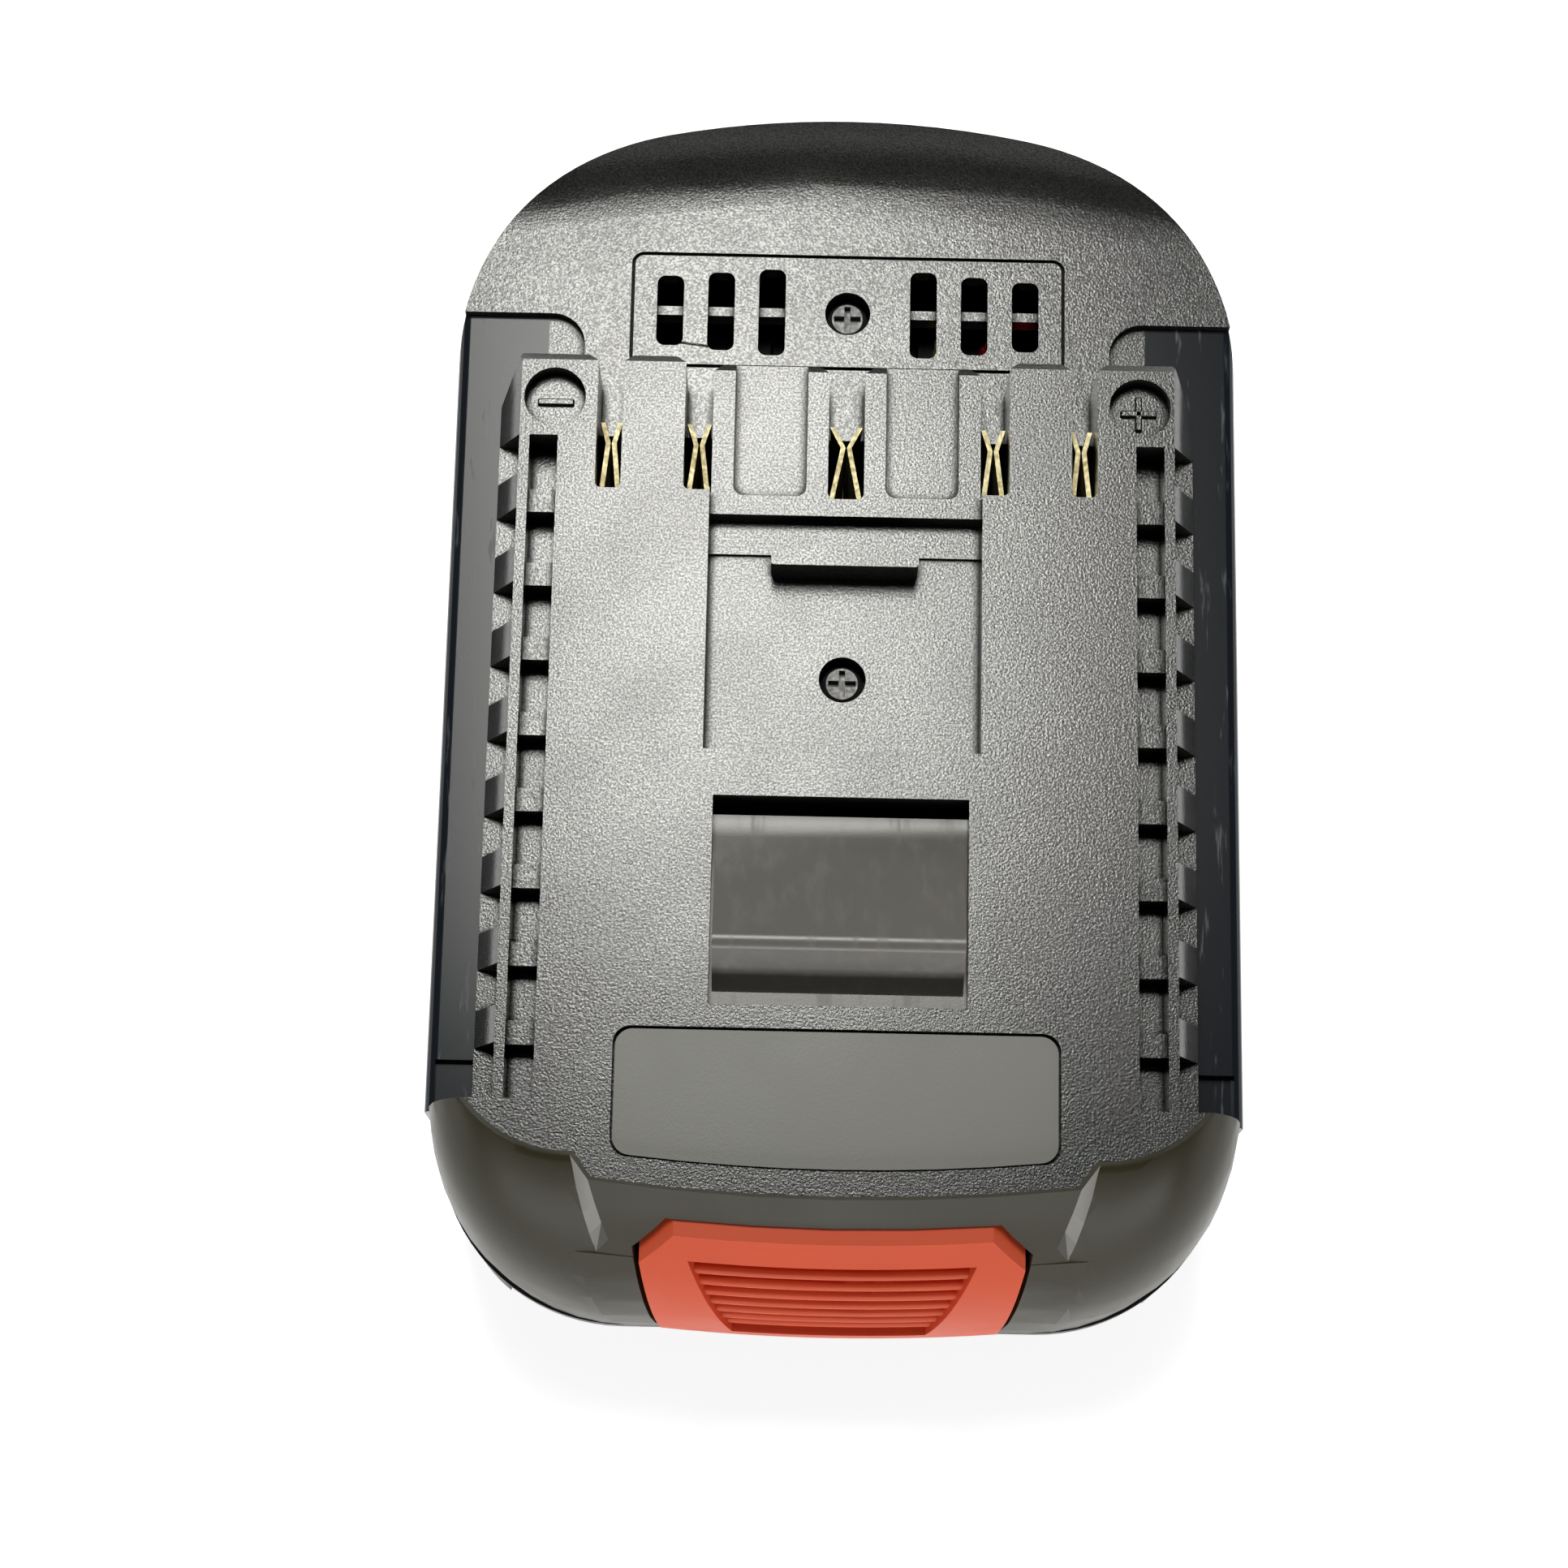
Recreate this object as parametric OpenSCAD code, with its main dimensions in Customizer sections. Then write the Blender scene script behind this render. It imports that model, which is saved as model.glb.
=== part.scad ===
// Slide-on battery adapter for cordless tools.
// X runs across the adapter, +Y points to the rounded hood at the rear and +Z points up to the tool.
// The origin is at the middle of the underside, and all sizes are in millimetres.

/* [Body] */
// Overall width
body_w = 75.4; // [74:0.2:80]
// Overall length from the button to the rear of the hood
body_l = 119; // [118:0.2:130]
// Height of the platform above the underside
deck_z = 44; // [43:0.5:48]
// Height of the lower shell up to the parting line
base_h = 19; // [18.5:0.5:20]
// Radius of the rear end seen from above
rear_r = 78; // [72:1:90]
// Radius that joins the rear end to the sides
rear_corner_r = 25.8; // [24:0.2:28]
// Radius of the front corners of the lower shell
nose_r = 18; // [14:0.5:20]
// Wall thickness of the shells
wall = 2.2; // [1.8:0.1:2.6]
// Clearance between pieces that slide or drop in
fit = 0.3; // [0.2:0.05:0.45]

/* [Hood] */
// Length of the hood behind the terminal fingers
hood_l = 29; // [28.5:0.1:32]
// Step from the trench floor up to the hood
hood_step = 0.9; // [0.5:0.1:1.2]
// Distance from the rear of the hood to the start of its roll-off
roll_l = 10.3; // [9.5:0.1:11.5]
// Radius of the roll-off
roll_r = 22; // [20:0.5:26]
// Radius, seen from above, of the line where the roll-off starts
dome_r = 143; // [120:1:180]
// Distance from the rear of the hood to the ends of the trenches
trench_end = 22; // [21.5:0.1:24]
// Radius along the outer edges of the trenches
edge_r = 1.1; // [0.6:0.1:1.6]
// Radius of the inner corners of the trench ends
trench_r = 3.2; // [2:0.1:5]
// Half width of the hood between the trench ends
tongue_x = 25.4; // [24.5:0.2:26]
// Gap between the terminal fingers and the vent panel
panel_gap = 1.7; // [1.4:0.1:2]
// Half width of the vent panel
panel_x = 21.1; // [20.5:0.1:22]
// Length of the vent panel
panel_l = 11.9; // [11:0.1:13]
// Depth of the groove that outlines the vent panel
panel_groove = 0.5; // [0.3:0.1:0.8]
// Width of each vent slot
vent_w = 2.6; // [2:0.1:3]
// Spacing of the vent slots
vent_pitch = 4.95; // [4.4:0.05:5.1]
// Distance of the first vent slots from the middle
vent_x0 = 7.35; // [6.5:0.05:7.6]
// Length of the vent slots next to the middle
vent_l = 8.9; // [8:0.1:9.5]
// Width of the bar that crosses under the vent slots
vent_bar = 0.9; // [0.7:0.1:1.3]
// Drop of that bar below the hood
vent_drop = 0.8; // [0.5:0.1:1.2]
// How far that bar lies behind the middle of the slots
bar_back = 0.3; // [0:0.1:0.5]
// How much shorter each next vent slot is
vent_taper = 0.85; // [0:0.05:1.4]

/* [Rails] */
// Height of the platform above the trench floor
rail_h = 9; // [8.5:0.25:10]
// Half width of the flat platform
platform_x = 27.1; // [26.6:0.1:27.6]
// Width of the pockets beside the platform
pocket_w = 2.65; // [2.2:0.05:2.9]
// Depth of the pockets
pocket_d = 4.6; // [3.5:0.1:5]
// Thickness of the web outside the pockets
web_t = 0.95; // [0.8:0.05:1.3]
// Reach of the flange beyond the web
flange_reach = 2.15; // [1.6:0.05:2.6]
// Drop from the platform to the top of the flange
flange_drop = 4; // [3:0.1:4.5]
// Thickness of the flange
flange_t = 2.4; // [2:0.1:3]
// Undercut of the flange
undercut = 3.85; // [3:0.05:4.2]
// Spacing of the ribs along the rail
rib_pitch = 7.2; // [6.6:0.1:8]
// Length of each outer gusset
gusset_l = 3.4; // [2.6:0.1:4]
// Length of each inner rib
rib_l = 2.2; // [1.6:0.1:3]
// Drop of the inner ribs below the platform
rib_drop = 1.3; // [0.5:0.1:2]
// Length of the solid block at the rear end of each rail
end_block = 8.4; // [7.5:0.1:9]
// Length of the taper that leads the tool onto each flange
lead_l = 4.4; // [2:0.1:5]

/* [Terminals] */
// Length of the terminal slots
slot_l = 13.5; // [12.5:0.1:14]
// Radius of the corners at the front ends of the slots
slot_r = 0.6; // [0.3:0.1:1]
// Width of the outer slots
power_slot_w = 2.4; // [2:0.1:2.8]
// Width of the slots next to the middle
side_slot_w = 2.6; // [2.2:0.1:3]
// Width of the middle slot
centre_slot_w = 3.4; // [3:0.1:3.8]
// Distance of the outer slots from the middle
power_slot_x = 22.3; // [21.9:0.1:22.6]
// Distance of the next slots from the middle
side_slot_x = 13.95; // [13.8:0.05:14.4]
// Chamfer at the rear ends of the fingers
finger_chamfer = 0.9; // [0.5:0.1:1.3]
// Flare of the slots at the rear ends of the fingers
mouth = 0.9; // [0.5:0.1:1.1]
// Radius of the polarity discs
disc_r = 2.9; // [2.5:0.1:3.2]
// Depth of the polarity discs
disc_d = 1.8; // [0.8:0.1:2.2]
// Distance of the polarity discs from the rear ends of the fingers
disc_in = 4.6; // [4:0.1:5]
// Length of the holes for the contacts
contact_hole = 7.6; // [6.5:0.1:8]
// Distance of those holes from the front ends of the slots
contact_in = 0.4; // [0.2:0.1:0.8]
// Sheet thickness of the spring contacts
leaf_t = 0.45; // [0.3:0.05:0.5]
// Height of the spring leaves below the platform
leaf_drop = 4; // [3:0.5:5]
// How far the ends of the leaves spread from their feet to their tops
leaf_spread = 0.45; // [0.2:0.05:0.5]
// Place of the pinch along the leaves, as a share of their length
pinch_at = 0.72; // [0.5:0.02:0.8]

/* [Centre] */
// Half width of the centre channel
channel_x = 12.75; // [12.6:0.05:13]
// Drop of the lower plate below the platform
plate_drop = 2; // [1.5:0.1:2.4]
// Length of the lower plate
plate_l = 15.2; // [14.5:0.1:16]
// Depth of the recess below the platform
recess_d = 4.4; // [3.6:0.1:5]
// Step up of the recess's floor behind the cross bar
recess_step = 0.4; // [0.2:0.1:0.6]
// Distance from the front block to the recess
recess_from_block = 32.6; // [32:0.1:33.5]
// Half width of the cross bar in the recess
bar_x = 6.85; // [5:0.05:8]
// Thickness of the cross bar
bar_t = 1.6; // [1.2:0.1:2]
// Distance of the cross bar from the lower plate
bar_gap = 3.3; // [2.5:0.1:4]
// How far the cross bar stands in front of the recess's step
bar_fore = 0.5; // [0.2:0.1:0.8]
// Radius of the screw wells
well_r = 2.2; // [2.1:0.05:2.6]
// Distance from the recess's front edge to its screw
well_from_edge = 8; // [7:0.1:9]

/* [Front] */
// Length of the front block at the widest level
nose_l = 17.7; // [17.2:0.1:19]
// Height at which the front stands out furthest
nose_z = 22; // [20.5:0.5:24]
// Length of the side pads on the deck
pad_l = 4.9; // [4:0.1:5.5]
// Length of the middle block on the deck
block_l = 8.5; // [8.2:0.1:9]
// How far the middle block stands out at the bottom
block_proud = 0.35; // [0.2:0.05:0.6]
// Radius of the bow of the middle block
bow_r = 178; // [140:2:220]
// Half width of the middle block on the deck
block_x = 23.6; // [23.2:0.1:24.2]
// Width of the bevels at its sides
bevel_w = 1.7; // [1.4:0.1:2.4]
// Corner radius of the pads on the deck
pad_r = 12; // [8:0.25:13]
// How far the sides of the front stand in from the shells
cover_in = 0.6; // [0.4:0.1:0.9]
// How far the sides of the front lean in above the trench floor
side_lean = 1.1; // [0.6:0.1:1.5]
// Thickness of the deck plate
deck_t = 2.5; // [2.2:0.1:2.8]
// Rim of the front cover round the deck plate
rim = 0.3; // [0.2:0.05:0.5]
// Half width of the label recess
label_x = 20.1; // [18:0.1:20.4]
// Length of the label recess at its sides
label_l = 11.8; // [10:0.1:12]
// Depth of the label recess
label_d = 0.9; // [0.7:0.1:1.1]
// Thickness of the label plate
label_t = 0.5; // [0.3:0.05:0.6]

/* [Catch] */
// Half width of the latch window
window_x = 11.7; // [11:0.1:12.4]
// Length of the latch window
window_l = 19.35; // [19:0.05:20]
// Distance of the latch window from the front block
window_from_block = 8.9; // [8.6:0.1:9.2]
// Height of the latch crest above the platform
crest_h = 2.4; // [2:0.1:3]
// Slope of the latch ramp in degrees
ramp_a = 27; // [24:1:30]
// Slope of the front of the latch in degrees
catch_a = 57; // [52:1:62]
// Radius of the latch crest
crest_r = 1.1; // [0.8:0.1:1.5]
// Travel of the latch and button
travel = 3.5; // [2.5:0.1:3.6]
// How far the button stands out
button_proud = 0.9; // [0.6:0.1:1.2]
// Half width of the button at its top
button_top_x = 14.3; // [13.6:0.1:15]
// Half width of the button where it is widest
button_x = 17.4; // [16.6:0.1:17.8]
// Half width of the button at its bottom
button_low_x = 15.7; // [15:0.1:16.4]
// Drop from the platform to the top of the button
button_drop = 2.7; // [2.6:0.1:3.2]
// Height of the button's slanted top corners
button_shoulder = 3.4; // [2.6:0.1:4]
// Height of the button
button_h = 18; // [16.5:0.25:18.2]
// Thickness of the button's front wall
button_t = 3.4; // [2.8:0.1:3.6]
// Gap along the sides of the button
button_gap = 0.7; // [0.65:0.05:0.9]
// Number of grip ridges
ridge_n = 8; // [5:1:10]
// Depth of the grip
grip_d = 1.2; // [0.8:0.1:1.5]
// Wire diameter of the latch springs
spring_wire = 0.7; // [0.5:0.05:0.8]
// Mean diameter of the latch springs
spring_d = 5; // [4.5:0.1:6]
// Active turns of the latch springs
spring_turns = 4; // [3:0.5:4.5]

/* [Battery bay] */
// Half width of the bay
bay_x = 31; // [30.5:0.1:31.4]
// Height of the bay
bay_h = 17; // [16.5:0.1:17.2]
// Wall behind the bay
bay_back = 6.5; // [6.4:0.1:8]
// Reach of the slide ledges
ledge_reach = 4.6; // [4:0.1:5]
// Height of the slide ledges above the underside
ledge_z = 5; // [4:0.25:6]
// Thickness of the slide ledges
ledge_t = 3.5; // [3:0.1:4]
// How far the front edges of the skirts lean back
skirt_lean = 8; // [4:0.5:9]
// Distance from the button to the front of the ledges
ledge_front = 9; // [8:0.5:14]
// Length of the slide ledges
ledge_l = 68; // [60:1:70]
// Half width of the catch pocket
catch_x = 9; // [7:0.5:10]
// Length of the catch pocket
catch_l = 8; // [6:0.5:9]
// Depth of the catch pocket above the bay ceiling
catch_d = 3.2; // [2.5:0.1:3.4]
// Distance from the button to the catch pocket
catch_front = 13; // [12.5:0.5:14]

/* [Battery terminals] */
// Half width of the terminal block
block_half = 23; // [22:0.5:25]
// Length of the terminal block
tblock_l = 17; // [16:0.5:18]
// Height of the terminal block below the ceiling
tblock_h = 10.5; // [9.5:0.25:11]
// Distance of the power blades from the middle
blade_x = 14.6; // [13.5:0.1:16]
// Reach of the blades in front of the terminal block
blade_l = 14; // [10:0.5:16]
// Height of the blades
blade_h = 6.4; // [5:0.2:7]
// Thickness of the blades
blade_t = 0.8; // [0.6:0.1:1]
// Depth of the screw heads in the terminal block
tblock_seat = 6; // [5.5:0.1:6.5]
// Depth of the terminal block's screws in the ceiling
tblock_bite = 1.2; // [1:0.1:1.4]
// Distance from the middle at which the power wires meet the board
lead_x = 21; // [20:0.1:21.4]
// Diameter of the power wires
wire_d = 2.4; // [1.8:0.1:2.6]
// Diameter of the signal wire
thin_wire_d = 1.2; // [1:0.1:1.4]
// Thickness of the circuit board
board_t = 1.6; // [1.2:0.1:2]
// Length of the circuit board
board_l = 26; // [24:0.5:27]
// Half width of the circuit board
board_x = 26; // [25:0.25:27]
// Width of the transistor on the board
tab_w = 10; // [8:0.5:11]
// Length of the transistor
tab_l = 7; // [5:0.5:8]
// Height of the transistor
tab_h = 2.4; // [1.8:0.1:3]
// Distance of the transistor from the middle
tab_x = 15; // [14.5:0.1:15.5]
// Width and length of the chip on the board
chip_w = 4; // [3:0.1:4.4]
// Height of the chip
chip_h = 1.5; // [1:0.1:1.8]
// Distance of the chip from the middle
chip_x = 11; // [10.5:0.1:11.5]
// Length of the two resistors
resistor_l = 2; // [1.6:0.1:2.2]
// Width of the resistors
resistor_w = 1.2; // [0.8:0.1:1.4]
// Height of the resistors
resistor_h = 0.7; // [0.5:0.1:0.9]
// Distance of the resistors from the middle
resistor_x = 16; // [15.5:0.1:16.5]
// Radius of the can capacitor
can_r = 2.6; // [2:0.1:2.8]
// Height of the can capacitor
can_h = 6; // [5:0.5:7]
// Distance of the can capacitor from the middle
can_x = 21.5; // [21:0.1:22.5]

/* [Screws] */
// Height of the screw posts above the parting line
post_h = 8; // [7:0.1:9]
// Depth of the housing screws' heads below the surface
head_drop = 1.4; // [1:0.1:2]
// Gap below the tips of the housing screws
tip_gap = 1; // [0.6:0.1:1.4]
// Length of the screws that go in from below
low_screw_l = 12; // [11:0.5:13]
// Thickness of the base that those screws hold
low_web = 9; // [8.5:0.1:9.5]
// Distance of the front screws from the front ends of the rails
front_screw_in = 3.2; // [3:0.1:3.6]
// Length of the cross in the screw heads
cross_l = 2.6; // [2:0.1:3]
// Width of the cross
cross_w = 0.6; // [0.4:0.05:0.8]
// Depth of the cross
cross_d = 0.9; // [0.6:0.1:1.1]
// Diameter of the screw shanks
shank_d = 2.4; // [2.2:0.1:2.6]
// Diameter of the screw heads
head_d = 4; // [3.8:0.1:4.1]
// Height of the screw heads
head_h = 1.8; // [1.4:0.1:2.2]

/* [Hidden] */
$fn = 64;
eps = 0.01;
over = 1;

// Places along the adapter
rear_y = body_l / 2;
nose_y = -body_l / 2 + button_proud + block_proud;
finger_y = rear_y - hood_l;
rail_y = nose_y + nose_l;
trench_y = rear_y - trench_end;
slot_y = finger_y - slot_l;
plate_y = finger_y - plate_l;
bar_y = plate_y - bar_gap;
tooth_y = finger_y - end_block;
recess_y = rail_y + recess_from_block;
well_y = recess_y + well_from_edge;
window_y = rail_y + window_from_block;
pad_y = rail_y - pad_l;
block_y = rail_y - block_l;
label_y = window_y - 2.1;
panel_y = finger_y + panel_gap;
vent_y = panel_y + panel_l / 2 - 0.1;
rear_well_y = vent_y;
axis_y = block_y + bow_r;

// Levels
half_w = body_w / 2;
trench_z = deck_z - rail_h;
hood_z = trench_z + hood_step;
flange_z = deck_z - flange_drop;
plate_z = deck_z - plate_drop;
recess_z = deck_z - recess_d;
under_z = deck_z - deck_t;
floor_t = 2;
contact_z = hood_z - floor_t;

// Places across the adapter
pocket_x = platform_x + pocket_w;
web_x = pocket_x + web_t;
flange_x = web_x + flange_reach;
neck_x = flange_x - undercut;
hollow_x = platform_x - wall;

// Rear outline: the side fillet is tangent to the side and to the rear arc
rear_cy = rear_y - rear_r;
fillet_x = half_w - rear_corner_r;
fillet_y = rear_cy + sqrt(pow(rear_r - rear_corner_r, 2) - pow(fillet_x, 2));
nose_cy = nose_y + nose_r;

// Front surfaces: an arc in side view that is upright at nose_z and meets the deck at top_y
nose_rise = deck_z - nose_z;
function arc_r(run) = (pow(run, 2) + pow(nose_rise, 2)) / (2 * run);
function front_at(z, top_y, low_y) =
    let (r = arc_r(top_y - low_y), dz = max(0, z - nose_z)) low_y + r - sqrt(pow(r, 2) - pow(dz, 2));
function share_up(z) = max(0, z - nose_z) / nose_rise;
function side_at(z) = half_w - cover_in - side_lean * pow(max(0, z - trench_z) / rail_h, 2);
function corner_at(z) = nose_r + (pad_r - nose_r) * share_up(z);
function pad_at(z) = front_at(z, pad_y, nose_y);
function block_at(z) = front_at(z, block_y, nose_y - block_proud);
function bow_at(x) = pow(x, 2) / (2 * bow_r);
nose_steps = 8;
nose_levels = [base_h, for (i = [0:nose_steps]) nose_z + nose_rise * sin(90 * i / nose_steps)];

// Zig-zag sides of the middle block: two bevels, the lower one set out again
zig_z = deck_z - 7;
zig_in = 2.3;
zag_in = 0.4;
zag_low = 3.2;

// Teeth of the rails
tooth_n = floor((tooth_y - rail_y - gusset_l) / rib_pitch);

// Terminal slots as distance from the middle and width
slots = [[0, centre_slot_w], [side_slot_x, side_slot_w], [-side_slot_x, side_slot_w],
    [power_slot_x, power_slot_w], [-power_slot_x, power_slot_w]];

// Screws and what they hold
shaft_r = shank_d / 2;
clear_r = shaft_r + fit / 2;
boss_r = well_r + 1.3;
boss_top = base_h + post_h;
low_seat = base_h - low_web;
front_screw_x = (half_w + bay_x) / 2 - 0.1;
front_screw_y = rail_y - front_screw_in;
rear_screw_r = rear_corner_r - bay_back / 2;
rear_screw_a = 60;
rear_screw_x = fillet_x + rear_screw_r * cos(rear_screw_a);
rear_screw_y = fillet_y + rear_screw_r * sin(rear_screw_a);
low_boss_r = 2.6;
low_boss_h = 11;

// Housing screws as place along the adapter and height of their seats
wells = [[well_y, recess_z - head_drop - head_h], [rear_well_y, hood_z - head_drop - head_h]];

// Catch
flange_top = under_z - fit;
foot_t = 2.6;
foot_x = window_x + 2.8;
arm_x = 12;
arm_web = 2.4;
arm_z = base_h + 8.5;
arm_top = under_z - 5.5;
arm_front = block_at(nose_z) + button_t + 3;
latch_rear = window_y + window_l - 1.9;
latch_front = window_y + fit;
pocket_wall = 1.6;
pocket_y = -body_l / 2 + catch_front;
spring_x = catch_x + pocket_wall + spring_d / 2 + spring_wire / 2 + fit;
spring_y = rail_y - 5.4;
spring_h = arm_z - base_h;
spring_pad = spring_d / 2 + 1;
baffle_y = nose_y + 3.6;
baffle_t = 1.4;
baffle_h = arm_z - travel - base_h;
button_z1 = deck_z - button_drop;
button_z0 = button_z1 - button_h;
button_mid = button_z1 - button_shoulder;
button_arc = arc_r(block_y - nose_y + block_proud);
button_cz = nose_z;
button_cr = axis_y - (nose_y - block_proud + button_arc);
button_span = 12;

// Battery side
tblock_y = finger_y - 2;
tblock_z = bay_h - tblock_h;
neck_half = block_half - 5;
neck_in = boss_r + 4;
neck_inset = 4;
signal_x = neck_in + 2;
neck_top = base_h + 1;
blade_z = tblock_z + 2.2;
lug_l = 3;
lug_y = tblock_y + tblock_l - neck_inset - lug_l - fit;
lug_z = neck_top + 1.6;
board_z = base_h + 3;
board_y = finger_y + 1 - board_l;
carrier_z = board_z + board_t;
carrier_x = 25.6;
carrier_y0 = slot_y - 1.2;
carrier_y1 = finger_y - 2.1;

// Outline of the body seen from above, drawn in by an inset
module body_plan(inset = 0) {
    ray = 3;
    translate([-half_w + inset, nose_cy]) square([body_w - 2 * inset, fillet_y - nose_cy]);
    translate([-half_w + nose_r, nose_y + inset]) square([body_w - 2 * nose_r, nose_r]);
    for (s = [-1, 1]) {
        translate([s * (half_w - nose_r), nose_cy]) circle(nose_r - inset);
        translate([s * fillet_x, fillet_y]) circle(rear_corner_r - inset);
    }
    intersection() {
        translate([0, rear_cy]) circle(rear_r - inset);
        polygon([[0, rear_cy],
            [ray * fillet_x, rear_cy + ray * (fillet_y - rear_cy)],
            [-ray * fillet_x, rear_cy + ray * (fillet_y - rear_cy)]]);
    }
}

// A box given by its corners
module block(a, b) {
    translate(a) cube(b - a);
}

// A box with mirrored sides, from a low corner to a high corner on the right
module pair(a, b) {
    block(a, b);
    block([-b.x, a.y, a.z], [-a.x, b.y, b.z]);
}

// A flat shape drawn in X and Z and pushed along Y
module along_y(y0, y1) {
    translate([0, y1, 0]) rotate([90, 0, 0]) linear_extrude(y1 - y0) children();
}

// A flat shape drawn in Y and Z and pushed along X
module along_x(x0, x1) {
    translate([x0, 0, 0]) rotate([90, 0, 90]) linear_extrude(x1 - x0) children();
}

// A rectangle with round corners
module soft_rect(x0, x1, y0, y1, r) {
    translate([x0 + r, y0]) square([x1 - x0 - 2 * r, y1 - y0]);
    translate([x0, y0 + r]) square([x1 - x0, y1 - y0 - 2 * r]);
    for (x = [x0 + r, x1 - r], y = [y0 + r, y1 - r]) translate([x, y]) circle(r);
}

// A round tube swept along points, with a ring at each point
function unit(v) = v / norm(v);
function heading(p, i) = unit(p[min(i + 1, len(p) - 1)] - p[max(i - 1, 0)]);
module tube(p, r, sides, up) {
    ring = [for (i = [0:len(p) - 1]) let (t = heading(p, i), a = unit(cross(t, up)), b = cross(t, a))
        for (k = [0:sides - 1]) p[i] + r * (cos(360 * k / sides) * a + sin(360 * k / sides) * b)];
    last = (len(p) - 1) * sides;
    skin = [for (i = [0:len(p) - 2], k = [0:sides - 1]) let (n = (k + 1) % sides, j = i * sides)
        each [[j + k, j + n, j + sides + k], [j + n, j + sides + n, j + sides + k]]];
    ends = [for (k = [1:sides - 2]) each [[0, k + 1, k], [last, last + k, last + k + 1]]];
    polyhedron(ring, concat(skin, ends));
}

// Front deck seen from above: side pads and the bowed middle block, drawn in by an inset
module deck_plan(inset = 0) {
    px = side_at(deck_z) - inset;
    py = pad_y + inset;
    bx = block_x - inset;
    steps = 6;
    front = block_x - bevel_w - inset;
    bow = [for (i = [0:steps]) let (x = front * (2 * i / steps - 1)) [x, block_y + inset + bow_at(x)]];
    intersection() {
        union() {
            translate([-px + pad_r, py]) square([2 * (px - pad_r), pad_l + 2 * pad_r]);
            translate([-px, py + pad_r]) square([2 * px, pad_l + pad_r]);
            for (s = [-1, 1]) translate([s * (px - pad_r), py + pad_r]) circle(pad_r);
            polygon(concat([[-bx, rail_y + over], [-bx, py]], bow, [[bx, py], [bx, rail_y + over]]));
        }
        union() {
            translate([-half_w, block_y - over]) square([body_w, rail_y - block_y + over]);
            translate([-platform_x, rail_y - over]) square([2 * platform_x, 2 * over]);
        }
    }
}

// Lengths rounded to a binary fraction, so that points meant for one plane lie in it exactly
function snap(v) = round(v * 512) / 512;

// Loft of the front bumper. A lift makes the inner skin follow the outer one lower down.
module nose_loft(inset, lift, y_end, z_top) {
    levels = [for (z = nose_levels) if (z < z_top) z];
    back = y_end + nose_r;
    intersection() {
        hull() for (z = concat(levels, [z_top - eps])) {
            zz = min(deck_z, z + lift);
            r = snap(max(1, corner_at(zz) - inset));
            x = snap(side_at(zz) - inset);
            for (s = [-1, 1]) translate([s * (x - r), pad_at(zz) + inset + r, z])
                cylinder(r = r, h = eps, $fn = 48);
            translate([-x, back, z]) cube([2 * x, eps, eps]);
        }
        block([-half_w, nose_y - over, 0], [half_w, y_end, deck_z]);
    }
}

// One bevelled stretch of the middle block, between two heights and their half widths
module block_loft(z0, x0, z1, x1) {
    cuts = 4;
    steps = 6;
    hull() for (i = [0:cuts]) {
        z = z0 + (z1 - z0) * i / cuts;
        foot = x0 + (x1 - x0) * i / cuts;
        tip = foot - bevel_w;
        bow = [for (k = [0:steps]) let (x = tip * (2 * k / steps - 1)) [x, block_at(z) + bow_at(x)]];
        rim_y = pad_at(z);
        translate([0, 0, min(z, z1 - eps)]) linear_extrude(eps)
            polygon(concat([[-foot, rail_y - wall], [-foot, rim_y]], bow,
                [[foot, rim_y], [foot, rail_y - wall]]));
    }
}

// Front view of the button, grown by a side gap and lengthened downwards
module button_face(side = 0, top = 0, low = 0) {
    slope = (button_x - button_low_x) / (button_mid - button_z0);
    polygon([[button_top_x + side, button_z1 + top], [button_x + side, button_mid + top],
        [button_low_x + side - slope * low, button_z0 - low],
        [-button_low_x - side + slope * low, button_z0 - low],
        [-button_x - side, button_mid + top], [-button_top_x - side, button_z1 + top]]);
}

// Solid of revolution that follows the bowed front, seen in section
module bowed(span) {
    translate([0, axis_y, 0]) rotate([0, 0, 270 - span / 2])
        rotate_extrude(angle = span, $fn = 200) children();
}

// Section of the rails and the platform
module rail_section() {
    low = trench_z - floor_t;
    polygon([for (s = [1, -1]) each let (p = [[neck_x, low], [neck_x, flange_z - flange_t],
        [flange_x, flange_z - flange_t], [flange_x, flange_z], [web_x, deck_z]])
        s > 0 ? p : [for (i = [len(p) - 1:-1:0]) [-p[i].x, p[i].y]]]);
}

// Cells between the ribs and gussets of both rails
module rail_cells() {
    for (i = [0:tooth_n]) {
        y1 = tooth_y - i * rib_pitch;
        y0 = i < tooth_n ? y1 - rib_pitch : rail_y - gusset_l;
        pair([web_x, y0 + gusset_l, flange_z], [flange_x + over, y1, deck_z + over]);
        pair([platform_x, y0 + (i < tooth_n ? rib_l : gusset_l), deck_z - pocket_d],
            [pocket_x, y1, deck_z + over]);
    }
    pair([platform_x, rail_y, deck_z - rib_drop], [pocket_x, tooth_y, deck_z + over]);
}

// Tapers at the rear ends of the flanges
module flange_leads() {
    for (s = [0, 1]) mirror([s, 0, 0]) translate([0, 0, trench_z + eps]) linear_extrude(rail_h + over)
        polygon([[web_x, finger_y + over], [web_x, finger_y], [flange_x + eps, finger_y - lead_l],
            [flange_x + over, finger_y - lead_l], [flange_x + over, finger_y + over]]);
}

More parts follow.
